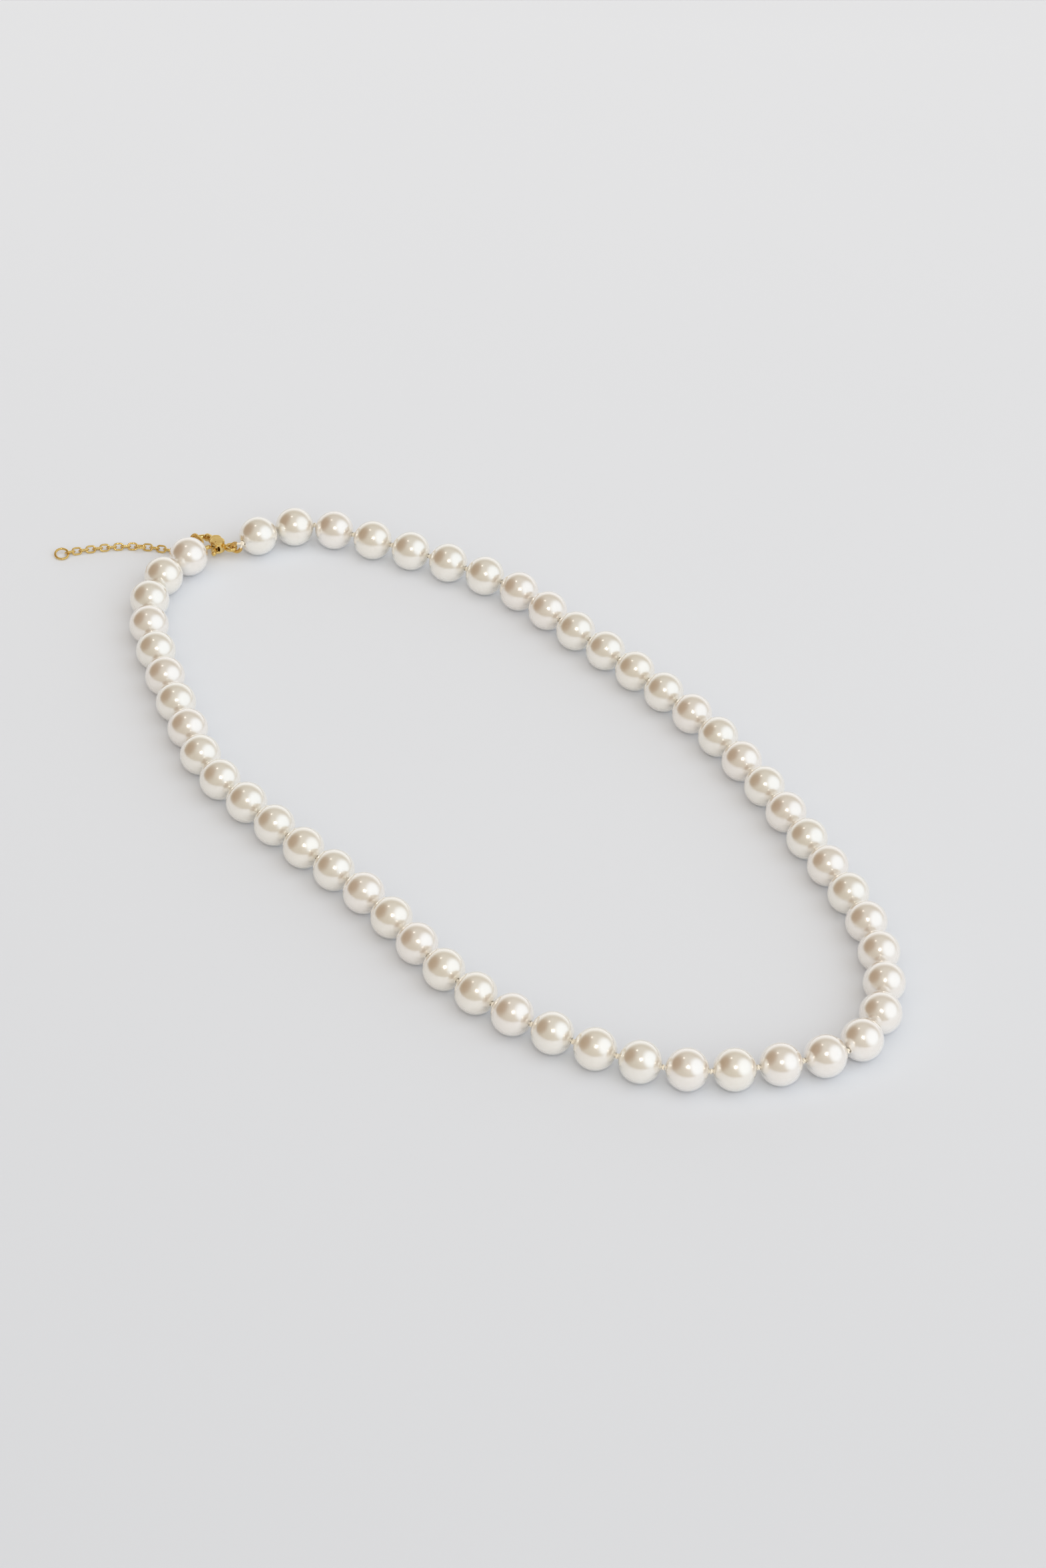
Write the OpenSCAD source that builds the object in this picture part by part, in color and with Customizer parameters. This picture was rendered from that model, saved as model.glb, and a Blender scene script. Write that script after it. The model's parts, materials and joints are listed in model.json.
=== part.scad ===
// Knotted pearl necklace with a lobster claw and a short extender chain.
// Millimetres, +Z up. The strand lies on the plane z = 0 as one closed loop.
// +Y runs from the front pearls to the clasp, +X to the wearer's right-hand
// side of the loop as it is seen from above. Origin: middle of the bounding
// box in X and Y, at the level of the table.

/* [Pearls] */

// pearl diameter
pearl_d = 8; // [6:0.5:10]
// drilled hole diameter
bore_d = 1; // [0.8:0.1:1.2]
// distance from knot to knot
pitch = 8.6; // [8.5:0.05:9]

/* [Thread] */

// stringing thread diameter
thread_d = 0.6; // [0.4:0.05:0.8]
// knot diameter
knot_d = 1.14; // [0.9:0.02:1.16]
// air between a knot and the next thread at a fold
fold_gap = 0.08; // [0.05:0.01:0.15]

/* [Clasp] */

// claw bar radius at the nose
nose_r = 0.55; // [0.5:0.05:0.6]
// claw body thickness
body_t = 2.2; // [2:0.1:2.4]
// hinge pin diameter
pin_d = 0.6; // [0.5:0.05:0.7]

/* [Chain] */

// chain link wire diameter
link_w = 0.4; // [0.3:0.05:0.45]
// chain link outside length
link_l = 2.3; // [2.2:0.05:2.5]
// chain link outside width
link_b = 1.7; // [1.6:0.05:1.8]
// running gap between chain pieces
link_gap = 0.05; // [0.03:0.01:0.08]

/* [Hidden] */

$fn = 48;

pearl_c = [0.95, 0.93, 0.89];
thread_c = [0.86, 0.80, 0.68];
gold_c = [0.85, 0.66, 0.30];

pearl_r = pearl_d / 2;
thread_r = thread_d / 2;
knot_r = knot_d / 2;
count = 53;

// bounding box middle of the whole piece, taken off every position
org = [-0.9, 7.78, 0];

// heading of the strand at chosen pearls, degrees, pearls between them follow
function heading(i) = lookup(i, [
  [1, 191], [2, 206], [3, 226], [4, 243], [6, 249], [9, 252],
  [10, 270], [14, 276], [17, 264], [20, 286], [23, 304], [25, 331],
  [27, 342], [29, 398], [31, 420], [33, 435], [36, 437], [39, 443],
  [40, 450], [44, 456], [45, 449], [47, 472], [49, 478], [51, 482],
  [52, 512], [53, 545]]);

// knots 0 to 53, each one pitch from the last
knots = [for (i = 0, p = [-3.9, 95.5, pearl_r]; i <= count;
              i = i + 1,
              p = p + pitch * [cos(heading(i)), sin(heading(i)), 0]) p - org];

function mid(i) = (knots[i - 1] + knots[i]) / 2;

function unit(v) = v / norm(v);

// place children with their x axis along ex and z axis along ez
module on_frame(p, ex, ez) {
  ey = cross(ez, ex);
  multmatrix([
    [ex[0], ey[0], ez[0], p[0]],
    [ex[1], ey[1], ez[1], p[1]],
    [ex[2], ey[2], ez[2], p[2]],
    [0, 0, 0, 1]]) children();
}

// round bar from p to q
module bar(p, q, r) {
  d = q - p;
  l = norm(d);
  translate(p)
    rotate([0, acos(d[2] / l), atan2(d[1], d[0])])
      cylinder(r = r, h = l);
}

// part of a ring lying in the xy plane
module arc_bar(rad, r, a0, a1) {
  rotate([0, 0, a0])
    rotate_extrude(angle = a1 - a0)
      translate([rad, 0]) circle(r = r);
}

module pearl(i) {
  translate(mid(i)) rotate([0, 0, heading(i)]) rotate([0, 90, 0])
    rotate_extrude() difference() {
      circle(r = pearl_r);
      translate([-pearl_d, -pearl_d]) square([pearl_d + bore_d / 2, 2 * pearl_d]);
    }
}

module pearls(a, b) {
  color(pearl_c) for (i = [a:b]) pearl(i);
}

// thread through pearls a to b with every knot between them.
// k0 / k1: 1 keeps the knot at that end, 0 stops short of it
module thread(a, b, k0, k1) {
  color(thread_c) union() {
    for (i = [a:b]) {
      d = [cos(heading(i)), sin(heading(i)), 0];
      s = (i == a && k0 == 0) ? knot_r + fold_gap : knot_r / 2;
      e = (i == b && k1 == 0) ? knot_r + fold_gap : knot_r / 2;
      bar(knots[i - 1] + d * s, knots[i] - d * e, thread_r);
    }
    for (i = [a - 1:b])
      if ((i > a - 1 || k0 == 1) && (i < b || k1 == 1))
        translate(knots[i]) rotate([0, 0, heading(i == b ? i : i + 1) + 90])
          sphere(r = knot_r);
  }
}

// ---- claw: local x from tail eye to nose, y to the lever side, z up ----

tail = [2.1, 94.1, 2.4] - org;
claw_a = 125;
claw_drop = 4;
eye_r = 0.95;
eye_w = 0.42;
hook_c = [6.2, -0.1];
hook_r = 2.1;
pivot = [3.2, 0.8];
lever_w = 0.45;

module in_claw() {
  translate(tail) rotate([0, claw_drop, 0 + claw_a]) children();
}

module clasp_body() {
  color(gold_c) in_claw() difference() {
    union() {
      arc_bar(eye_r, eye_w, 0, 360);
      translate([eye_r - 0.1, 0, 0]) rotate([0, 90, 0]) cylinder(r = 0.5, h = 1.2);
      // base shell
      linear_extrude(body_t, center = true) {
        translate([2.9, 0]) circle(r = 1.5);
        translate([3.6, -1.0]) circle(r = 1.15);
      }
      translate([2.9, 0, 0]) cylinder(r = 1.3, h = body_t + 0.3, center = true);
      // hook, thick at the base and slim at the nose
      translate([hook_c[0], hook_c[1], 0]) arc_bar(hook_r, 0.8, -152, -100);
      translate([hook_c[0], hook_c[1], 0]) arc_bar(hook_r, nose_r, -106, 36);
      translate([hook_c[0], hook_c[1], 0]) rotate([0, 0, -98])
        translate([hook_r, 0, 0]) rotate([90, 0, 0]) sphere(r = 0.86);
    }
    // slot for the lever, open towards the lever side and the front
    translate([1.95, 0.02, -0.6]) cube([4, 3, 1.2]);
    translate([pivot[0], pivot[1], -0.6]) cylinder(r = 1.1, h = 1.2);
    translate([pivot[0], pivot[1], -3]) cylinder(d = pin_d + 0.02, h = 6);
  }
}

module clasp_lever() {
  color(gold_c) in_claw() difference() {
    union() {
      translate([pivot[0], pivot[1], -0.52]) cylinder(r = 0.85, h = 1.04);
      translate([hook_c[0], hook_c[1], 0]) arc_bar(hook_r, lever_w, 39, 152);
      // thumb tab
      translate([3.15, 0, 0]) rotate([0, 0, 100]) translate([1.4, 0, 0])
        rotate([0, 90, 0]) cylinder(r = 0.42, h = 1.7);
      translate([3.15, 0, 0]) rotate([0, 0, 100]) translate([3.1, 0, 0])
        sphere(r = 0.52);
    }
    translate([pivot[0], pivot[1], -3]) cylinder(d = pin_d + 0.1, h = 6);
  }
}

module clasp_pin() {
  color(gold_c) in_claw()
    translate([pivot[0], pivot[1], -body_t / 2 - 0.1])
      cylinder(d = pin_d, h = body_t + 0.2);
}

// bow-shaped flat spring behind the lever's heel
module clasp_spring() {
  color(gold_c) in_claw()
    translate([pivot[0], pivot[1], -0.25]) rotate([0, 0, 195])
      rotate_extrude(angle = 70) translate([0.93, 0]) square([0.1, 0.5]);
}

// ---- loops of wire coil over the thread ends ----

coil_r = 0.4;
core_r = 0.27;
loop_r = 0.95;
reach = 1.8;

// part of the hollow coil, bent to the loop's radius
module arc_tube(a0, a1) {
  rotate([0, 0, a0])
    rotate_extrude(angle = a1 - a0)
      translate([loop_r, 0]) difference() {
        circle(r = coil_r);
        circle(r = core_r + 0.03);
      }
}

// loop hung on the round bar of radius br at q, closed at knot k
module loop_on(k, q, n, br, kind) {
  e = unit(k - q);
  nn = unit(n - (n * e) * e);
  inner = loop_r - coil_r;
  ce = q + e * (inner - br - 0.03);
  ck = k - e * reach;
  l = norm(ck - ce);
  s = sign((ck - ce) * e) * l;
  // x along e, z along the loop's normal
  on_frame(ce, e, nn) {
    if (kind == "coil") {
      arc_tube(90, 270);
      for (y = [-loop_r, loop_r])
        translate([0, y, 0]) rotate([0, 90, 0]) difference() {
          cylinder(r = coil_r, h = s);
          translate([0, 0, -1]) cylinder(r = core_r + 0.03, h = s + 2);
        }
      translate([s, 0, 0]) arc_tube(40, 90);
      translate([s, 0, 0]) arc_tube(-90, -40);
    }
    if (kind == "core") {
      arc_bar(loop_r, core_r, 90, 270);
      for (y = [-loop_r, loop_r])
        translate([0, y, 0]) rotate([0, 90, 0]) cylinder(r = core_r, h = s);
      translate([s, 0, 0]) arc_bar(loop_r, core_r, 35, 90);
      translate([s, 0, 0]) arc_bar(loop_r, core_r, -90, -35);
      for (y = [-1, 1])
        bar([s + loop_r * cos(35), y * loop_r * sin(35), 0],
            [s + reach - 0.3, y * 0.2, 0], core_r);
    }
  }
}

ca = [cos(claw_a) * cos(claw_drop), sin(claw_a) * cos(claw_drop), -sin(claw_drop)];
tail_q = tail - ca * eye_r;
tail_n = [-sin(claw_a), cos(claw_a), 0];

// ring held in the nose of the claw, standing on edge
ring_r = 1.75;
ring_w = 0.275;
hook_p = tail + [cos(claw_a), sin(claw_a), 0] * hook_c[0]
         + [-sin(claw_a), cos(claw_a), 0] * hook_c[1];
ring_d = [cos(claw_a + 45), sin(claw_a + 45), 0];
ring_p0 = hook_p + ring_d * (hook_r - nose_r - ring_w - 0.05 + ring_r);
ring_p = [ring_p0[0], ring_p0[1], ring_r + ring_w + 0.005];
ring_n = [-ring_d[1], ring_d[0], 0];

hook_q = ring_p + ring_r * (-cos(60) * ring_d + sin(60) * [0, 0, 1]);
hook_n = [cos(36), 0, -sin(36)];

module extender_ring() {
  color(gold_c) on_frame(ring_p, ring_d, ring_n) arc_bar(ring_r, ring_w, 0, 360);
}

// ---- chain: every piece is [length, width, wire radius, roll, rise, heading] ----

lw = link_w / 2;

function chain_heading(i) = lookup(i, [[1, 122], [3, 128], [7, 140], [10, 152], [18, 162]]);

function piece(i) =
  i == 1 ? [link_l, link_b, lw, -16, -22] :
  i == 2 ? [link_l, link_b, lw, 60, -11] :
  i == 7 ? [2.6, 2.6, 0.22, -24, 0] :
  i == 18 ? [3.2, 3.2, 0.25, 14, -5] :
  [link_l, link_b, lw, i % 2 == 1 ? -45 : 45, 0];

// the pieces that hang at an angle need twice the running gap
function gap_of(i) = i <= 2 || i == 18 ? 2 * link_gap : link_gap;

function dir_of(i) = let (h = chain_heading(i), e = piece(i)[4])
  [cos(h) * cos(e), sin(h) * cos(e), sin(e)];
function side_of(i) = let (h = chain_heading(i)) [-sin(h), cos(h), 0];
function norm_of(i) = let (d = dir_of(i), s = side_of(i), u = cross(d, s), r = piece(i)[3])
  cos(r) * u + sin(r) * s;

start = ring_p + ring_r * (cos(20) * ring_d - sin(20) * [0, 0, 1]);

// end bar of each piece and the pieces' middles
ends = [for (i = 0, e = start, w = ring_w; i <= 18;
             i = i + 1,
             d = dir_of(i), c = piece(i), h = c[0] / 2 - c[2],
             e = e + d * (2 * h - w - c[2] - gap_of(i)), w = c[2]) e];

function centre_of(i) = let (c = piece(i), h = c[0] / 2 - c[2]) ends[i] - dir_of(i) * h;

module chain_piece(i) {
  c = piece(i);
  h = (c[0] - c[1]) / 2;
  m = c[1] / 2 - c[2];
  color(gold_c) on_frame(centre_of(i), dir_of(i), norm_of(i)) {
    if (h < 0.01) arc_bar(m, c[2], 0, 360);
    else {
      translate([h, 0, 0]) arc_bar(m, c[2], -90, 90);
      translate([-h, 0, 0]) arc_bar(m, c[2], 90, 270);
      for (y = [-m, m])
        translate([-h, y, 0]) rotate([0, 90, 0]) cylinder(r = c[2], h = 2 * h);
    }
  }
}

// ---- drawing ----

module thread_rear_left() {
  color(thread_c) union() {
    thread(1, 3, 1, 1);
    loop_on(knots[0], hook_q, hook_n, ring_w, "core");
  }
}
module thread_rear_right() {
  color(thread_c) union() {
    thread(51, 53, 1, 1);
    loop_on(knots[count], tail_q, tail_n, eye_w, "core");
  }
}
module thread_pair(a, b, c, d) { thread(a, b, 0, 1); thread(c, d, 1, 0); }
module wire_loop_tail() { color(gold_c) loop_on(knots[count], tail_q, tail_n, eye_w, "coil"); }
module wire_loop_hook() { color(gold_c) loop_on(knots[0], hook_q, hook_n, ring_w, "coil"); }

pearls(1, 3);  // pearls_rear_left
pearls(51, 53);  // pearls_rear_right
thread_rear_left();
thread_rear_right();
pearls(4, 6);  // pearls_shoulder_left
pearls(48, 50);  // pearls_shoulder_right
thread_pair(4, 6, 48, 50);  // thread_shoulder
pearls(7, 9);  // pearls_collar_left
pearls(45, 47);  // pearls_collar_right
thread_pair(7, 9, 45, 47);  // thread_collar
pearls(10, 14);  // pearls_side_left
thread(10, 14, 0, 1);  // thread_side_left
pearls(40, 44);  // pearls_side_right
thread(40, 44, 1, 0);  // thread_side_right
pearls(15, 17);  // pearls_waist_left
pearls(37, 39);  // pearls_waist_right
thread_pair(15, 17, 37, 39);  // thread_waist
pearls(18, 20);  // pearls_lower_left
pearls(34, 36);  // pearls_lower_right
thread_pair(18, 20, 34, 36);  // thread_lower
pearls(21, 23);  // pearls_bib_left
pearls(31, 33);  // pearls_bib_right
thread_pair(21, 23, 31, 33);  // thread_bib
pearls(24, 30);  // pearls_front
thread(24, 30, 0, 0);  // thread_front
clasp_body();
clasp_lever();
clasp_pin();
clasp_spring();
wire_loop_tail();
wire_loop_hook();
extender_ring();
chain_piece(1);  // chain_link_01
chain_piece(2);  // chain_link_02
chain_piece(3);  // chain_link_03
chain_piece(4);  // chain_link_04
chain_piece(5);  // chain_link_05
chain_piece(6);  // chain_link_06
chain_piece(7);  // chain_middle_ring
chain_piece(8);  // chain_link_07
chain_piece(9);  // chain_link_08
chain_piece(10);  // chain_link_09
chain_piece(11);  // chain_link_10
chain_piece(12);  // chain_link_11
chain_piece(13);  // chain_link_12
chain_piece(14);  // chain_link_13
chain_piece(15);  // chain_link_14
chain_piece(16);  // chain_link_15
chain_piece(17);  // chain_link_16
chain_piece(18);  // chain_end_ring
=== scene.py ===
import json
import math
import random

import bpy
import numpy as np
from mathutils import Matrix, Vector


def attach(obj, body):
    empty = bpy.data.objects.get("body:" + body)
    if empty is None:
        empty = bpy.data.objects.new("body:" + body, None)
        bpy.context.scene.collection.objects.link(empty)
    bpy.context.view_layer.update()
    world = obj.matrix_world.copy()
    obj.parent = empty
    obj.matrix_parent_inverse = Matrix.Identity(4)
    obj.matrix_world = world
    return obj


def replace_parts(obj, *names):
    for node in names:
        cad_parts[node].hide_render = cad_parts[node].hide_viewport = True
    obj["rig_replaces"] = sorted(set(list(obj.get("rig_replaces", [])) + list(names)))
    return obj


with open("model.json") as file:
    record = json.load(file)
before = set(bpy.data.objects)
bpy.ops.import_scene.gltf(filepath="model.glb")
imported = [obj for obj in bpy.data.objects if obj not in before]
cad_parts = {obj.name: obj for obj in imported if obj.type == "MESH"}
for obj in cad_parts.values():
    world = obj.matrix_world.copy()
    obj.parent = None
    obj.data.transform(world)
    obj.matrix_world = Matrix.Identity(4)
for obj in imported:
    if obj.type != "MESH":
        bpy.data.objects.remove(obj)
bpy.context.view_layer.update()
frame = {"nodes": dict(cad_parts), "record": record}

MM = 0.001
rng = random.Random(53)
record = frame["record"]
BODY_OF = {n: b for b, ns in record["behaviour"]["bodies"].items() for n in ns}


def deg(a):
    return math.radians(a)


def unit(v):
    v = np.asarray(v, float)
    return v / np.linalg.norm(v)


# ---------------------------------------------------------------- layout, mm
ORG = np.array([-0.9, 7.78, 0.0])
PITCH, PEARL_R, COUNT = 8.6, 4.0, 53
KEYS = [(1, 191), (2, 206), (3, 226), (4, 243), (6, 249), (9, 252), (10, 270),
        (14, 276), (17, 264), (20, 286), (23, 304), (25, 331), (27, 342),
        (29, 398), (31, 420), (33, 435), (36, 437), (39, 443), (40, 450),
        (44, 456), (45, 449), (47, 472), (49, 478), (51, 482), (52, 512),
        (53, 545)]


def heading(i):
    return float(np.interp(i, [k for k, _ in KEYS], [h for _, h in KEYS]))


def along(i):
    h = deg(heading(i))
    return np.array([math.cos(h), math.sin(h), 0.0])


knots = [np.array([-3.9, 95.5, PEARL_R]) - ORG]
for i in range(1, COUNT + 1):
    knots.append(knots[-1] + PITCH * along(i))

PEARL_NODES = [
    ("pearls_rear_left", 1, 3), ("pearls_shoulder_left", 4, 6),
    ("pearls_collar_left", 7, 9), ("pearls_side_left", 10, 14),
    ("pearls_waist_left", 15, 17), ("pearls_lower_left", 18, 20),
    ("pearls_bib_left", 21, 23), ("pearls_front", 24, 30),
    ("pearls_bib_right", 31, 33), ("pearls_lower_right", 34, 36),
    ("pearls_waist_right", 37, 39), ("pearls_side_right", 40, 44),
    ("pearls_collar_right", 45, 47), ("pearls_shoulder_right", 48, 50),
    ("pearls_rear_right", 51, 53)]
# node, then for each run: first pearl, last pearl, knot kept at its start, at its end
THREAD_NODES = [
    ("thread_rear_left", [(1, 3, 1, 1)]), ("thread_rear_right", [(51, 53, 1, 1)]),
    ("thread_shoulder", [(4, 6, 0, 1), (48, 50, 1, 0)]),
    ("thread_collar", [(7, 9, 0, 1), (45, 47, 1, 0)]),
    ("thread_side_left", [(10, 14, 0, 1)]),
    ("thread_side_right", [(40, 44, 1, 0)]),
    ("thread_waist", [(15, 17, 0, 1), (37, 39, 1, 0)]),
    ("thread_lower", [(18, 20, 0, 1), (34, 36, 1, 0)]),
    ("thread_bib", [(21, 23, 0, 1), (31, 33, 1, 0)]),
    ("thread_front", [(24, 30, 0, 0)])]

# ---------------------------------------------------------------- materials


def principled(name, **sockets):
    m = bpy.data.materials.new(name)
    m.use_nodes = True
    b = m.node_tree.nodes["Principled BSDF"]
    for k, v in sockets.items():
        b.inputs[k.replace("_", " ")].default_value = v
    return m, m.node_tree, b


def node(tree, kind, **props):
    n = tree.nodes.new(kind)
    for k, v in props.items():
        setattr(n, k, v)
    return n


def noise(tree, coord, scale, detail=3.0, rough=0.5):
    n = node(tree, "ShaderNodeTexNoise")
    n.inputs["Scale"].default_value = scale
    n.inputs["Detail"].default_value = detail
    n.inputs["Roughness"].default_value = rough
    tree.links.new(coord, n.inputs["Vector"])
    return n


def ramp(tree, src, stops):
    r = node(tree, "ShaderNodeValToRGB")
    e = r.color_ramp.elements
    while len(e) < len(stops):
        e.new(0.5)
    for k, (p, c) in enumerate(stops):
        e[k].position = p
        e[k].color = (*c, 1.0)
    tree.links.new(src, r.inputs["Fac"])
    return r


def bump(tree, src, bsdf, strength, distance):
    b = node(tree, "ShaderNodeBump")
    b.inputs["Strength"].default_value = strength
    b.inputs["Distance"].default_value = distance
    tree.links.new(src, b.inputs["Height"])
    tree.links.new(b.outputs["Normal"], bsdf.inputs["Normal"])
    return b


def nacre(name, light, shade):
    """Imitation pearl: a warm reflecting pigment under clear glossy lacquer."""
    m, t, b = principled(name, Metallic=0.68, Coat_Weight=1.0, Coat_Roughness=0.035,
                         Coat_IOR=1.52, Specular_IOR_Level=0.5)
    co = node(t, "ShaderNodeTexCoord").outputs["Object"]
    cloud = noise(t, co, 420.0, 3.0, 0.55)
    col = ramp(t, cloud.outputs["Fac"], [(0.30, shade), (0.72, light)])
    t.links.new(col.outputs["Color"], b.inputs["Base Color"])
    fine = noise(t, co, 2600.0, 2.0, 0.5)
    mr = node(t, "ShaderNodeMapRange")
    mr.inputs["To Min"].default_value = 0.175
    mr.inputs["To Max"].default_value = 0.235
    t.links.new(fine.outputs["Fac"], mr.inputs["Value"])
    t.links.new(mr.outputs["Result"], b.inputs["Roughness"])
    swell = noise(t, co, 900.0, 2.0, 0.4)
    bump(t, swell.outputs["Fac"], b, 0.03, 0.00006)
    return m


NACRE = [nacre("nacre_%s" % k, l, s) for k, l, s in (
    ("ivory", (0.955, 0.928, 0.868), (0.935, 0.905, 0.838)),
    ("cream", (0.958, 0.925, 0.855), (0.938, 0.900, 0.825)),
    ("rose", (0.960, 0.924, 0.872), (0.942, 0.898, 0.842)))]


def thread_material():
    m, t, b = principled("cream_silk", Roughness=0.24, Sheen_Weight=0.25,
                         Sheen_Roughness=0.35, Specular_IOR_Level=0.55)
    co = node(t, "ShaderNodeTexCoord").outputs["Object"]
    fibre = noise(t, co, 5200.0, 4.0, 0.65)
    col = ramp(t, fibre.outputs["Fac"], [(0.25, (0.76, 0.66, 0.50)),
                                         (0.50, (0.92, 0.85, 0.72)),
                                         (0.80, (0.97, 0.94, 0.86))])
    t.links.new(col.outputs["Color"], b.inputs["Base Color"])
    bump(t, fibre.outputs["Fac"], b, 0.5, 0.00004)
    return m


def gold(name, light, shade, rough, grain):
    m, t, b = principled(name, Metallic=1.0)
    co = node(t, "ShaderNodeTexCoord").outputs["Object"]
    cloud = noise(t, co, 700.0, 3.0, 0.6)
    col = ramp(t, cloud.outputs["Fac"], [(0.30, shade), (0.70, light)])
    t.links.new(col.outputs["Color"], b.inputs["Base Color"])
    fine = noise(t, co, grain, 4.0, 0.6)
    mr = node(t, "ShaderNodeMapRange")
    mr.inputs["To Min"].default_value = rough * 0.75
    mr.inputs["To Max"].default_value = rough * 1.35
    t.links.new(fine.outputs["Fac"], mr.inputs["Value"])
    t.links.new(mr.outputs["Result"], b.inputs["Roughness"])
    bump(t, fine.outputs["Fac"], b, 0.12, 0.00002)
    return m


SILK = thread_material()
GOLD = gold("gold_polished", (0.93, 0.70, 0.29), (0.84, 0.58, 0.19), 0.17, 4200.0)
GOLD_WIRE = gold("gold_wire", (0.90, 0.64, 0.24), (0.82, 0.55, 0.17), 0.24, 6000.0)

# ---------------------------------------------------------------- mesh helpers


def add_mesh(name, verts, faces, material, cad_node, smooth=True):
    """verts in mm, in the row frame. The piece stands for cad_node and rides with it."""
    me = bpy.data.meshes.new(name)
    me.from_pydata((np.asarray(verts) * MM).tolist(), [], faces)
    me.update()
    me.materials.append(material)
    if smooth:
        me.polygons.foreach_set("use_smooth", [True] * len(me.polygons))
    o = bpy.data.objects.new(name, me)
    bpy.context.scene.collection.objects.link(o)
    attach(o, BODY_OF[cad_node])
    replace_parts(o, cad_node)
    return o


def grid_faces(rows, cols, off=0, wrap_rows=False):
    """Quads of a rows x cols grid closed round its columns, and round its rows if asked."""
    out = []
    last = rows if wrap_rows else rows - 1
    for a in range(last):
        b = (a + 1) % rows
        for c in range(cols):
            d = (c + 1) % cols
            out.append((off + a * cols + c, off + b * cols + c,
                        off + b * cols + d, off + a * cols + d))
    return out


def tube(path, radius, seg=12, closed=False, lobes=0, twist=0.0, up=None, depth=0.14):
    """Swept tube along path. radius is a number or one per point. lobes and twist
    (radians per mm) make a plied cord. Open ends are closed by rounded caps."""
    p = np.asarray(path, float)
    n = len(p)
    r = np.full(n, radius, float) if np.isscalar(radius) else np.asarray(radius, float)
    if closed:
        t = np.roll(p, -1, 0) - np.roll(p, 1, 0)
    else:
        t = np.gradient(p, axis=0)
    t /= np.linalg.norm(t, axis=1)[:, None]
    ref = np.array([0, 0, 1.0]) if up is None else np.asarray(up, float)
    if abs(ref @ t[0]) > 0.9:
        ref = np.array([1.0, 0, 0])
    u = unit(ref - (ref @ t[0]) * t[0])
    frames = [u]
    for k in range(1, n):
        u = u - (u @ t[k]) * t[k]
        u = u / np.linalg.norm(u)
        frames.append(u)
    frames = np.array(frames)
    if closed:  # spread what the frame has turned by over the whole loop
        e = frames[-1] - (frames[-1] @ t[0]) * t[0]
        e /= np.linalg.norm(e)
        a = math.atan2(np.cross(e, frames[0]) @ t[0], e @ frames[0])
        k = np.linspace(0, a, n, endpoint=False)
        frames = (np.cos(k)[:, None] * frames
                  + np.sin(k)[:, None] * np.cross(t, frames))
    v = np.cross(t, frames)
    s = np.concatenate([[0], np.cumsum(np.linalg.norm(np.diff(p, axis=0), axis=1))])
    ang = np.linspace(0, 2 * math.pi, seg, endpoint=False)
    verts, faces = [], []

    def ring(k, centre, scale):
        shape = np.ones(seg)
        if lobes:
            shape = 1 - depth * (1 - np.abs(np.cos(lobes / 2 * (ang - twist * s[k]))))
        rr = r[k] * scale * shape
        return centre + rr[:, None] * (np.cos(ang)[:, None] * frames[k]
                                       + np.sin(ang)[:, None] * v[k])

    rows = []
    if not closed:
        for f in (0.0, 0.35, 0.7, 0.92):
            rows.append(ring(0, p[0] - t[0] * r[0] * 0.5 * math.sqrt(1 - f * f), max(f, 0.08)))
    for k in range(n):
        rows.append(ring(k, p[k], 1.0))
    if not closed:
        for f in (0.92, 0.7, 0.35, 0.0):
            rows.append(ring(n - 1, p[-1] + t[-1] * r[-1] * 0.5 * math.sqrt(1 - f * f), max(f, 0.08)))
    verts = np.concatenate(rows)
    faces = grid_faces(len(rows), seg, 0, closed)
    if not closed:
        faces.append(tuple(range(seg)))
        faces.append(tuple(range((len(rows) - 1) * seg, len(rows) * seg))[::-1])
    return verts, faces


def join(parts):
    verts, faces, off = [], [], 0
    for v, f in parts:
        verts.append(np.asarray(v))
        faces += [tuple(x + off for x in q) for q in f]
        off += len(v)
    return np.concatenate(verts), faces


def on_frame(p, ex, ez):
    ex, ez = np.asarray(ex, float), np.asarray(ez, float)
    ey = np.cross(ez, ex)
    return np.asarray(p, float), np.stack([ex, ey, ez], 1)


def arc(cx, cy, r, a0, a1, n, end=True):
    a = np.radians(np.linspace(a0, a1, n, endpoint=end))
    return np.stack([cx + r * np.cos(a), cy + r * np.sin(a), 0 * a], 1)


def line(p, q, n):
    k = np.linspace(0, 1, n)[:, None]
    return np.asarray(p, float) * (1 - k) + np.asarray(q, float) * k


def even(path, step, closed=False):
    """The same path with points step mm apart."""
    p = np.asarray(path, float)
    if closed:
        p = np.vstack([p, p[:1]])
    d = np.linalg.norm(np.diff(p, axis=0), axis=1)
    keep = np.concatenate([[True], d > 1e-6])
    p = p[keep]
    s = np.concatenate([[0], np.cumsum(np.linalg.norm(np.diff(p, axis=0), axis=1))])
    m = max(4, int(round(s[-1] / step)))
    q = np.linspace(0, s[-1], m + 1)
    out = np.stack([np.interp(q, s, p[:, k]) for k in range(3)], 1)
    return out[:-1] if closed else out


# ---------------------------------------------------------------- pearls


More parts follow.
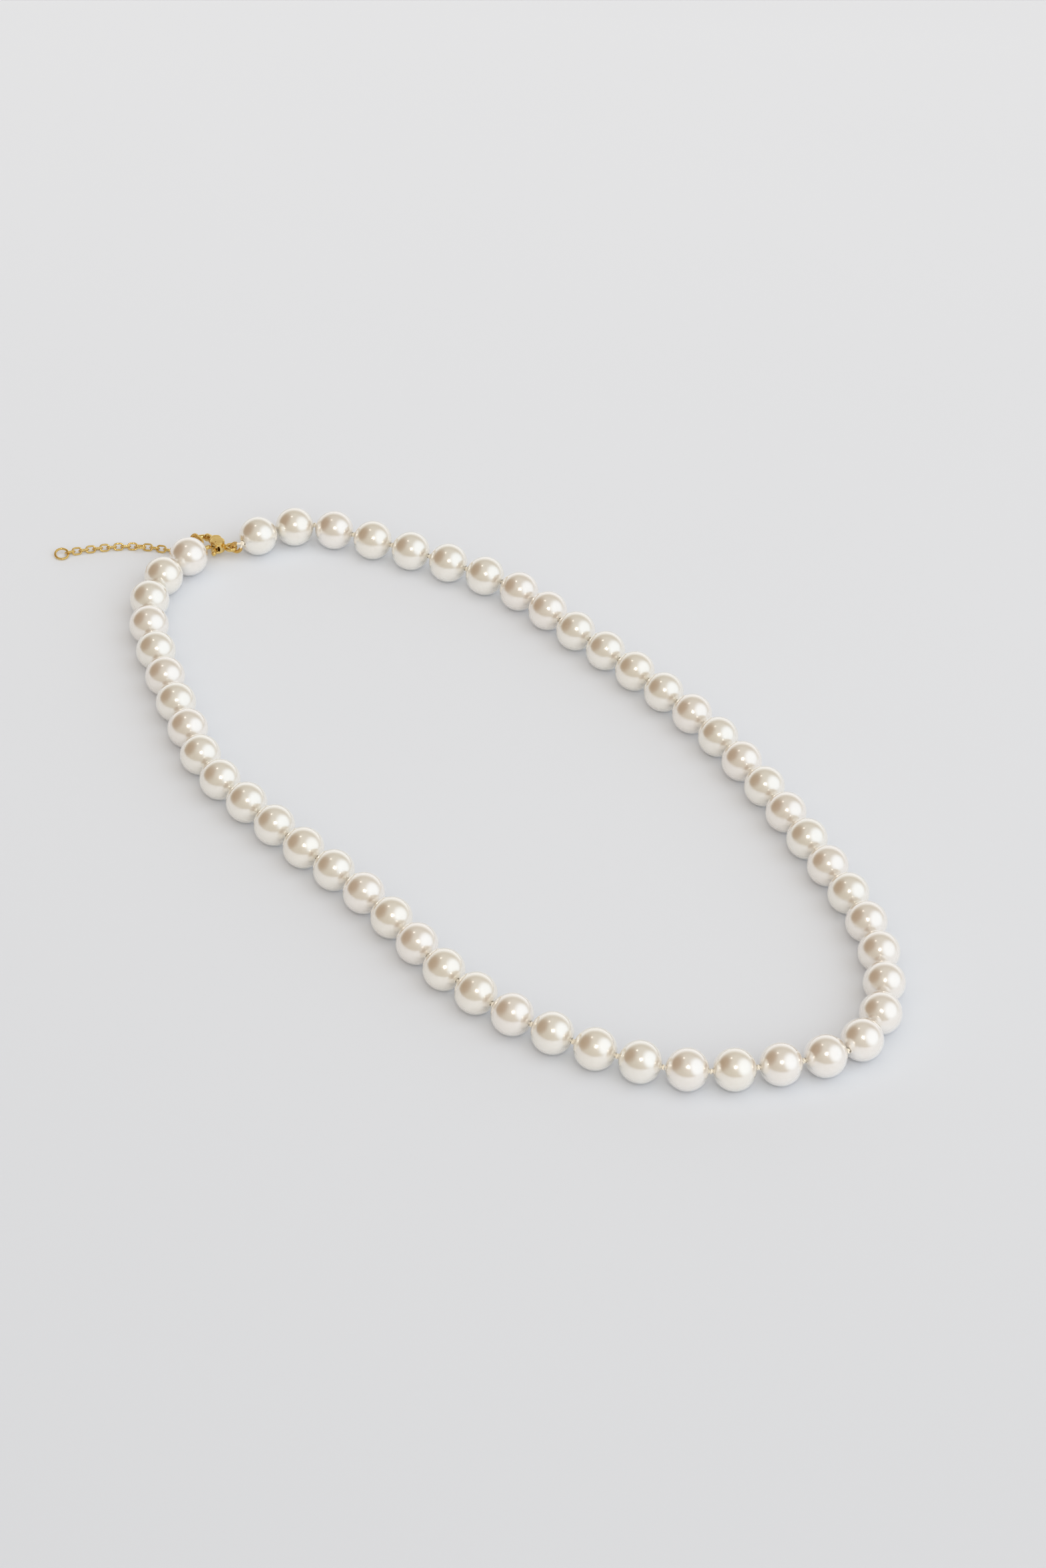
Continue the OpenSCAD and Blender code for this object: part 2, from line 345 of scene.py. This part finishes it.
def pearl_mesh(i):
    """Revolved about the drilled hole, with a rolled lip round each end of it."""
    seg = 56
    size = PEARL_R * (1 + rng.uniform(-0.002, 0.0))
    bore = 0.5

    def face_x(rho):
        return math.sqrt(size * size - rho * rho) + 0.03 * math.exp(-((rho - 0.70) / 0.09) ** 2)

    half = [(face_x(0.56) - 0.30, bore), (face_x(0.56) - 0.12, bore),
            (face_x(0.56) - 0.06, bore + 0.004), (face_x(0.56) - 0.025, bore + 0.018),
            (face_x(0.56) - 0.006, bore + 0.038)]
    for rho in (0.565, 0.61, 0.66, 0.71, 0.76, 0.82, 0.90, 1.02):
        half.append((face_x(rho), rho))
    t0 = math.asin(1.2 / size)
    for t in np.linspace(t0, math.pi / 2, 19):
        half.append((size * math.cos(t), size * math.sin(t)))
    prof = half + [(-x, r) for x, r in half[::-1][1:]]
    # back through the bore
    inner = [(x, bore) for x in np.linspace(-(half[0][0]), half[0][0], 9)[1:-1]]
    prof += inner
    prof = np.array(prof)
    ang = np.linspace(0, 2 * math.pi, seg, endpoint=False)
    x = np.repeat(prof[:, 0], seg)
    r = np.repeat(prof[:, 1], seg)
    a = np.tile(ang, len(prof))
    local = np.stack([x, r * np.cos(a), r * np.sin(a)], 1)
    # very slightly out of round
    k1, k2 = rng.uniform(-0.0025, 0.0), rng.uniform(0, 6.28)
    rad = np.linalg.norm(local, axis=1)
    w = np.clip((rad - 3.6) / 0.3, 0, 1)
    local *= (1 + (w * k1 * np.cos(2 * a + k2) ** 2))[:, None]
    d = along(i)
    side = np.array([-d[1], d[0], 0.0])
    centre = (knots[i - 1] + knots[i]) / 2
    world = centre + local[:, :1] * d + local[:, 1:2] * side + local[:, 2:3] * np.array([0, 0, 1.0])
    return world, grid_faces(len(prof), seg, 0, True)


for cad, a, b in PEARL_NODES:
    for i in range(a, b + 1):
        v, f = pearl_mesh(i)
        add_mesh("pearl_%02d" % i, v, [q[::-1] for q in f], NACRE[rng.randrange(3)], cad)

# ---------------------------------------------------------------- thread and knots

THREAD_R = 0.28


def knot_mesh(i):
    """A tight overhand knot round the thread at knots[i]."""
    d = along(min(max(i, 1), COUNT)) + along(min(i + 1, COUNT))
    d = unit(d)
    side = np.array([-d[1], d[0], 0.0])
    upv = np.array([0, 0, 1.0])
    t = np.linspace(0, 2 * math.pi, 84, endpoint=False)
    turn = rng.uniform(0, 2 * math.pi)
    rr = 0.290 + 0.128 * np.cos(3 * t)
    phi = 2 * t + turn
    ax = 0.135 * np.sin(3 * t)
    path = (knots[i] + ax[:, None] * d + (rr * np.cos(phi))[:, None] * side
            + (rr * np.sin(phi))[:, None] * upv)
    return tube(path, 0.155, 12, closed=True, lobes=2, twist=2.4, depth=0.10)


# ---------------------------------------------------------------- clasp frame

tail = np.array([2.1, 94.1, 2.4]) - ORG
CA, DROP = deg(125), deg(4)
claw_x = np.array([math.cos(CA) * math.cos(DROP), math.sin(CA) * math.cos(DROP), -math.sin(DROP)])
claw_y = np.array([-math.sin(CA), math.cos(CA), 0.0])
claw_z = np.cross(claw_x, claw_y)


def claw(p):
    p = np.atleast_2d(np.asarray(p, float))
    return tail + p[:, :1] * claw_x + p[:, 1:2] * claw_y + p[:, 2:3] * claw_z


RING_R, RING_W = 1.75, 0.275
hook_p = tail + np.array([math.cos(CA), math.sin(CA), 0]) * 6.2 + claw_y * -0.1
ring_d = np.array([math.cos(CA + deg(45)), math.sin(CA + deg(45)), 0.0])
ring_p = hook_p + ring_d * (2.1 - 0.55 - RING_W - 0.05 + RING_R)
ring_p[2] = RING_R + RING_W + 0.005
ring_n = np.array([-ring_d[1], ring_d[0], 0.0])
hook_q = ring_p + RING_R * (-math.cos(deg(60)) * ring_d + math.sin(deg(60)) * np.array([0, 0, 1.0]))
hook_n = np.array([math.cos(deg(36)), 0.0, -math.sin(deg(36))])
tail_q = tail - claw_x * 0.95
tail_n = claw_y
LOOP_R, COIL_R, REACH = 0.95, 0.40, 1.80


def loop_path(k, q, n, br):
    """(origin, axes, length of the straight sides) of a wire loop, as in the CAD."""
    e = unit(k - q)
    nn = unit(n - (n @ e) * e)
    ce = q + e * (LOOP_R - COIL_R - br - 0.03)
    ck = k - e * REACH
    s = math.copysign(np.linalg.norm(ck - ce), (ck - ce) @ e)
    o, m = on_frame(ce, e, nn)
    return o, m, s


def loop_core(k, q, n, br):
    o, m, s = loop_path(k, q, n, br)
    p = np.concatenate([
        line([s + REACH - 0.1, 0.06, 0], [s + REACH - 0.35, 0.2, 0], 4),
        line([s + REACH - 0.35, 0.2, 0], [s + LOOP_R * math.cos(deg(38)), LOOP_R * math.sin(deg(38)), 0], 6)[1:],
        arc(s, 0, LOOP_R, 42, 90, 8), line([s, LOOP_R, 0], [0, LOOP_R, 0], 8)[1:-1],
        arc(0, 0, LOOP_R, 90, 270, 30), line([0, -LOOP_R, 0], [s, -LOOP_R, 0], 8)[1:-1],
        arc(s, 0, LOOP_R, -90, -42, 8),
        line([s + LOOP_R * math.cos(deg(38)), -LOOP_R * math.sin(deg(38)), 0], [s + REACH - 0.35, -0.2, 0], 6),
        line([s + REACH - 0.35, -0.2, 0], [s + REACH - 0.1, -0.06, 0], 4)[1:]])
    p = even(o + p @ m.T, 0.12)
    for _ in range(3):
        p[1:-1] = 0.25 * p[:-2] + 0.5 * p[1:-1] + 0.25 * p[2:]
    return tube(p, 0.235, 15, lobes=3, twist=4.2)


def loop_coil(k, q, n, br):
    """Close-wound fine wire bent into the loop."""
    o, m, s = loop_path(k, q, n, br)
    p = np.concatenate([
        arc(s, 0, LOOP_R, 40, 90, 12), line([s, LOOP_R, 0], [0, LOOP_R, 0], 12)[1:-1],
        arc(0, 0, LOOP_R, 90, 270, 40), line([0, -LOOP_R, 0], [s, -LOOP_R, 0], 12)[1:-1],
        arc(s, 0, LOOP_R, -90, -40, 12)])
    p = even(o + p @ m.T, 0.02)
    t = np.gradient(p, axis=0)
    t /= np.linalg.norm(t, axis=1)[:, None]
    nz = m[:, 2]
    b = np.cross(t, nz)
    length = 0.02 * (len(p) - 1)
    turns = length / 0.205
    per = 16
    m2 = int(turns * per)
    idx = np.linspace(0, len(p) - 1, m2)
    base = np.stack([np.interp(idx, np.arange(len(p)), p[:, c]) for c in range(3)], 1)
    bb = np.stack([np.interp(idx, np.arange(len(p)), b[:, c]) for c in range(3)], 1)
    phi = np.linspace(0, turns * 2 * math.pi, m2)
    hel = base + 0.302 * (np.cos(phi)[:, None] * bb + np.sin(phi)[:, None] * nz)
    return tube(hel, 0.094, 7)


for cad, runs in THREAD_NODES:
    parts = []
    for a, b, k0, k1 in runs:
        for i in range(a, b + 1):
            d = along(i)
            s = 0.65 if (i == a and not k0) else 0.0
            e = 0.65 if (i == b and not k1) else 0.0
            p = line(knots[i - 1] + d * s, knots[i] - d * e, 40)
            parts.append(tube(p, THREAD_R, 12, lobes=3, twist=3.4))
        for i in range(a - 1, b + 1):
            if (i > a - 1 or k0) and (i < b or k1):
                parts.append(knot_mesh(i))
    if cad == "thread_rear_left":
        parts.append(loop_core(knots[0], hook_q, hook_n, RING_W))
    if cad == "thread_rear_right":
        parts.append(loop_core(knots[COUNT], tail_q, tail_n, 0.42))
    v, f = join(parts)
    add_mesh(cad.replace("thread", "silk"), v, f, SILK, cad)

v, f = loop_coil(knots[COUNT], tail_q, tail_n, 0.42)
add_mesh("coil_tail", v, f, GOLD_WIRE, "wire_loop_tail")
v, f = loop_coil(knots[0], hook_q, hook_n, RING_W)
add_mesh("coil_hook", v, f, GOLD_WIRE, "wire_loop_hook")

# ---------------------------------------------------------------- rings and links


def jump_ring(o, m, r, w, seam):
    """Round wire bent to a ring, its two cut ends meeting at the seam angle."""
    gap = math.degrees(0.012 / r)
    p = arc(0, 0, r, seam + gap, seam + 360 - gap, 96)
    rad = np.full(len(p), w)
    rad[0] = rad[-1] = w * 0.95
    return tube(o + p @ m.T, rad, 20, up=m[:, 2])


o, m = on_frame(ring_p, ring_d, ring_n)
v, f = jump_ring(o, m, RING_R, RING_W, 205)
add_mesh("jump_ring", v, f, GOLD, "extender_ring")

LW, LL, LB, GAP = 0.2, 2.3, 1.7, 0.05


def chain_heading(i):
    return deg(float(np.interp(i, [1, 3, 7, 10, 18], [122, 128, 140, 152, 162])))


def piece(i):
    if i == 1:
        return LL, LB, LW, -16, -22
    if i == 2:
        return LL, LB, LW, 60, -11
    if i == 7:
        return 2.6, 2.6, 0.22, -24, 0
    if i == 18:
        return 3.2, 3.2, 0.25, 14, -5
    return LL, LB, LW, (-45 if i % 2 else 45), 0


def chain_axes(i):
    h, e, r = chain_heading(i), deg(piece(i)[4]), deg(piece(i)[3])
    d = np.array([math.cos(h) * math.cos(e), math.sin(h) * math.cos(e), math.sin(e)])
    s = np.array([-math.sin(h), math.cos(h), 0.0])
    u = np.cross(d, s)
    return d, math.cos(r) * u + math.sin(r) * s


def link_mesh(o, m, length, width, w):
    """Oval wire link, soldered where its ends meet on one long side."""
    h, r = (length - width) / 2, width / 2 - w
    p = np.concatenate([
        line([0, -r, 0], [h, -r, 0], 6)[:-1], arc(h, 0, r, -90, 90, 26)[:-1],
        line([h, r, 0], [-h, r, 0], 11)[:-1], arc(-h, 0, r, 90, 270, 26)[:-1],
        line([-h, -r, 0], [0, -r, 0], 6)[:-1]])
    p = even(p, 0.085, closed=True)
    d = np.linalg.norm(p - np.array([0, -r, 0]), axis=1)
    rad = w * (1 + 0.055 * np.exp(-(d / 0.13) ** 2) - 0.02 * np.exp(-((d - 0.26) / 0.06) ** 2))
    return tube(o + p @ m.T, rad, 14, closed=True, up=m[:, 2])


end = ring_p + RING_R * (math.cos(deg(20)) * ring_d - math.sin(deg(20)) * np.array([0, 0, 1.0]))
w_prev = RING_W
for i in range(1, 19):
    ln, wd, w, _, _ = piece(i)
    d, nrm = chain_axes(i)
    h = ln / 2 - w
    end = end + d * (2 * h - w_prev - w - (2 * GAP if i <= 2 or i == 18 else GAP))
    w_prev = w
    o, m = on_frame(end - d * h, d, nrm)
    if i == 7:
        v, f = jump_ring(o, m, ln / 2 - w, w, 75)
        add_mesh("middle_ring", v, f, GOLD, "chain_middle_ring")
    elif i == 18:
        v, f = jump_ring(o, m, ln / 2 - w, 0.95 * w, 118)
        add_mesh("end_ring", v, f, GOLD, "chain_end_ring")
    else:
        k = i if i < 7 else i - 1
        v, f = link_mesh(o, m, ln, wd, w if k < 16 else 0.95 * w)
        add_mesh("link_%02d" % k, v, f, GOLD, "chain_link_%02d" % k)

# ---------------------------------------------------------------- clasp


def cast(name, cad, voxel, smooth, keep):
    """A cast and polished copy of a CAD solid: remeshed, its edges rounded."""
    src = frame["nodes"][cad]
    me = src.data.copy()
    me.transform(Matrix.Scale(1 / MM, 4))
    o = bpy.data.objects.new(name, me)
    bpy.context.scene.collection.objects.link(o)
    r = o.modifiers.new("r", "REMESH")
    r.mode = "VOXEL"
    r.voxel_size = voxel
    s = o.modifiers.new("s", "SMOOTH")
    s.factor = 0.5
    s.iterations = smooth
    dg = bpy.context.evaluated_depsgraph_get()
    dg.update()
    out = bpy.data.meshes.new_from_object(o.evaluated_get(dg))
    bpy.data.objects.remove(o)
    out.transform(Matrix.Scale(MM, 4))
    out.name = name
    out.materials.clear()
    out.materials.append(GOLD)
    out.polygons.foreach_set("use_smooth", [True] * len(out.polygons))
    p = bpy.data.objects.new(name, out)
    bpy.context.scene.collection.objects.link(p)
    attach(p, BODY_OF[cad])
    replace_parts(p, cad)
    return p


cast("claw_cast", "clasp_body", 0.055, 5, 0)
cast("lever_cast", "clasp_lever", 0.05, 4, 0)


def pin_mesh():
    """Hinge pin with domed, peened heads."""
    r, hh = 0.3, 1.2
    prof = [(-hh - 0.05, 0.02), (-hh - 0.045, 0.12), (-hh - 0.02, 0.22), (-hh + 0.03, 0.285),
            (-hh + 0.09, r), (-0.4, r), (0.0, r), (0.4, r), (hh - 0.09, r),
            (hh - 0.03, 0.285), (hh + 0.02, 0.22), (hh + 0.045, 0.12), (hh + 0.05, 0.02)]
    seg = 28
    ang = np.linspace(0, 2 * math.pi, seg, endpoint=False)
    loc = np.concatenate([np.stack([3.2 + q * np.cos(ang), 0.8 + q * np.sin(ang),
                                    np.full(seg, z)], 1) for z, q in prof])
    f = grid_faces(len(prof), seg)
    f.append(tuple(range(seg)))
    f.append(tuple(range((len(prof) - 1) * seg, len(prof) * seg))[::-1])
    return claw(loc), f


v, f = pin_mesh()
add_mesh("pin_domed", v, f, GOLD, "clasp_pin")

# the flat spring stays as the CAD has it
spring = frame["nodes"]["clasp_spring"]
spring.data.materials.clear()
spring.data.materials.append(GOLD_WIRE)

# faces outwards on every new piece
import bmesh

for ob in [x for x in bpy.context.scene.objects if x.type == "MESH" and "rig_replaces" in x]:
    bm = bmesh.new()
    bm.from_mesh(ob.data)
    bmesh.ops.recalc_face_normals(bm, faces=bm.faces)
    bm.to_mesh(ob.data)
    bm.free()

# ---------------------------------------------------------------- floor


def floor_material():
    m, t, b = principled("table_top", Roughness=0.62, Specular_IOR_Level=0.25)
    co = node(t, "ShaderNodeTexCoord").outputs["Object"]
    n = noise(t, co, 3.0, 3.0, 0.5)
    col = ramp(t, n.outputs["Fac"], [(0.3, (0.712, 0.738, 0.783)), (0.7, (0.724, 0.750, 0.795))])
    # painted light: the table top's colour is scaled from 0.86 to 1.15 times towards the far side of the
    # picture, a light falloff painted onto the floor
    far = node(t, "ShaderNodeVectorMath", operation="DOT_PRODUCT")
    far.inputs[1].default_value = (0.65129, 0.75883, 0.0)
    t.links.new(co, far.inputs[0])
    painted_light_falloff = node(t, "ShaderNodeMapRange")
    painted_light_falloff.inputs["From Min"].default_value = -0.25
    painted_light_falloff.inputs["From Max"].default_value = 0.30
    painted_light_falloff.inputs["To Min"].default_value = 0.86
    painted_light_falloff.inputs["To Max"].default_value = 1.15
    t.links.new(far.outputs["Value"], painted_light_falloff.inputs["Value"])
    mul = node(t, "ShaderNodeVectorMath", operation="SCALE")
    t.links.new(col.outputs["Color"], mul.inputs[0])
    t.links.new(painted_light_falloff.outputs["Result"], mul.inputs["Scale"])
    t.links.new(mul.outputs["Vector"], b.inputs["Base Color"])
    return m


side_n = 96
fr = 6.0
ring_pts = [(fr * math.cos(2 * math.pi * k / side_n), fr * math.sin(2 * math.pi * k / side_n), -0.00002)
            for k in range(side_n)]
me = bpy.data.meshes.new("table_top")
me.from_pydata(ring_pts, [], [tuple(range(side_n))])
me.materials.append(floor_material())
table_top = bpy.data.objects.new("table_top", me)
bpy.context.scene.collection.objects.link(table_top)

# ---------------------------------------------------------------- light
# Horizontal direction into the picture and to its right, in the row frame.
FWD = Vector((0.65129, 0.75883, 0.0))
RIGHT = Vector((0.75883, -0.65129, 0.0))
UP = Vector((0, 0, 1))
P_DOWN = deg(38.8916)

world = bpy.data.worlds.new("studio")
bpy.context.scene.world = world
world.use_nodes = True
wt = world.node_tree
wt.nodes.clear()
wout = wt.nodes.new("ShaderNodeOutputWorld")
wbg = wt.nodes.new("ShaderNodeBackground")
wt.links.new(wbg.outputs[0], wout.inputs[0])
wco = wt.nodes.new("ShaderNodeTexCoord").outputs["Generated"]


def dot_dir(v):
    n = wt.nodes.new("ShaderNodeVectorMath")
    n.operation = "DOT_PRODUCT"
    wt.links.new(wco, n.inputs[0])
    n.inputs[1].default_value = v
    return n.outputs["Value"]


def soft(src, lo, hi):
    n = wt.nodes.new("ShaderNodeMapRange")
    n.interpolation_type = "SMOOTHSTEP"
    n.inputs["From Min"].default_value = lo
    n.inputs["From Max"].default_value = hi
    wt.links.new(src, n.inputs["Value"])
    return n.outputs["Result"]


def blend_world(fac, a, b):
    n = wt.nodes.new("ShaderNodeMix")
    n.data_type = "RGBA"
    wt.links.new(fac, n.inputs["Factor"])
    for src, k in ((a, 6), (b, 7)):
        if isinstance(src, tuple):
            n.inputs[k].default_value = (*src, 1.0)
        else:
            wt.links.new(src, n.inputs[k])
    return n.outputs[2]


ROOM = (0.45, 0.39, 0.30)        # the room in front, dim and warm
CEILING = (0.52, 0.48, 0.41)     # overhead
SHELF = (0.24, 0.12, 0.02)       # something brown on the left
BACK = (0.94, 0.95, 0.96)        # the pale wall behind
WINDOW = (0.90, 0.95, 1.01)      # the window on the right

behind = tuple(math.cos(P_DOWN) * FWD - math.sin(P_DOWN) * UP)
window = tuple((0.792 * RIGHT - 0.261 * FWD + 0.550 * UP).normalized())
left = tuple((-0.84 * RIGHT + 0.04 * FWD + 0.577 * UP).normalized())
c0 = blend_world(soft(dot_dir((0, 0, 1)), 0.55, 0.98), ROOM, CEILING)
c1 = blend_world(soft(dot_dir(left), 0.70, 0.99), c0, SHELF)
c2 = blend_world(soft(dot_dir(behind), 0.08, 0.60), c1, BACK)
c3 = blend_world(soft(dot_dir(window), 0.62, 0.92), c2, WINDOW)
wt.links.new(c3, wbg.inputs["Color"])
wbg.inputs["Strength"].default_value = 1.0


def disc(name, direction, distance, size, watts, colour):
    d = bpy.data.lights.new(name, "AREA")
    d.shape = "DISK"
    d.size = size
    d.energy = watts
    d.color = colour
    o = bpy.data.objects.new(name, d)
    bpy.context.scene.collection.objects.link(o)
    v = Vector(direction).normalized()
    o.location = v * distance
    o.rotation_mode = "QUATERNION"
    o.rotation_quaternion = v.to_track_quat("Z", "Y")
    return o


disc("lamp_front", 0.06 * RIGHT - 0.636 * FWD + 0.769 * UP, 1.15, 0.16, 1.0, (1.0, 0.97, 0.93))
disc("lamp_top", -0.289 * RIGHT + 0.189 * FWD + 0.938 * UP, 1.3, 0.12, 0.11, (1.0, 0.97, 0.93))
fill = disc("lamp_fill", -0.45 * FWD + 0.89 * UP, 1.6, 4.0, 21.0, (0.985, 0.99, 1.0))
fill.visible_glossy = False
side = disc("lamp_side", 0.38 * RIGHT - 0.78 * FWD + 0.50 * UP, 1.6, 1.8, 8.5, (0.98, 0.99, 1.0))
side.visible_glossy = False
for o in (fill, side):
    # the table is washed with light, so the strand hardly shades it
    o.data.use_shadow = False
    if hasattr(o.data.cycles, "cast_shadow"):
        o.data.cycles.cast_shadow = False

# ---------------------------------------------------------------- camera

cam = bpy.data.cameras.new("camera")
cam.sensor_fit = "VERTICAL"
cam.sensor_width = 36.0
cam.sensor_height = 36.0
cam.lens = 100.0
cam.clip_start, cam.clip_end = 0.01, 50.0
co = bpy.data.objects.new("camera", cam)
bpy.context.scene.collection.objects.link(co)
ROLL = deg(3.4744)
fwd = math.cos(P_DOWN) * FWD - math.sin(P_DOWN) * UP
upc = math.sin(P_DOWN) * FWD + math.cos(P_DOWN) * UP
rx = math.cos(ROLL) * RIGHT + math.sin(ROLL) * upc
uy = -math.sin(ROLL) * RIGHT + math.cos(ROLL) * upc
m3 = Matrix((rx, uy, -fwd)).transposed()
co.matrix_world = Matrix.Translation(Vector((-0.42336, -0.50742, 0.53188))) @ m3.to_4x4()
bpy.context.scene.camera = co

vs = bpy.context.scene.view_settings
vs.view_transform = "Standard"
vs.look = "None"
vs.exposure = 0.0
vs.gamma = 1.0

bpy.context.view_layer.update()
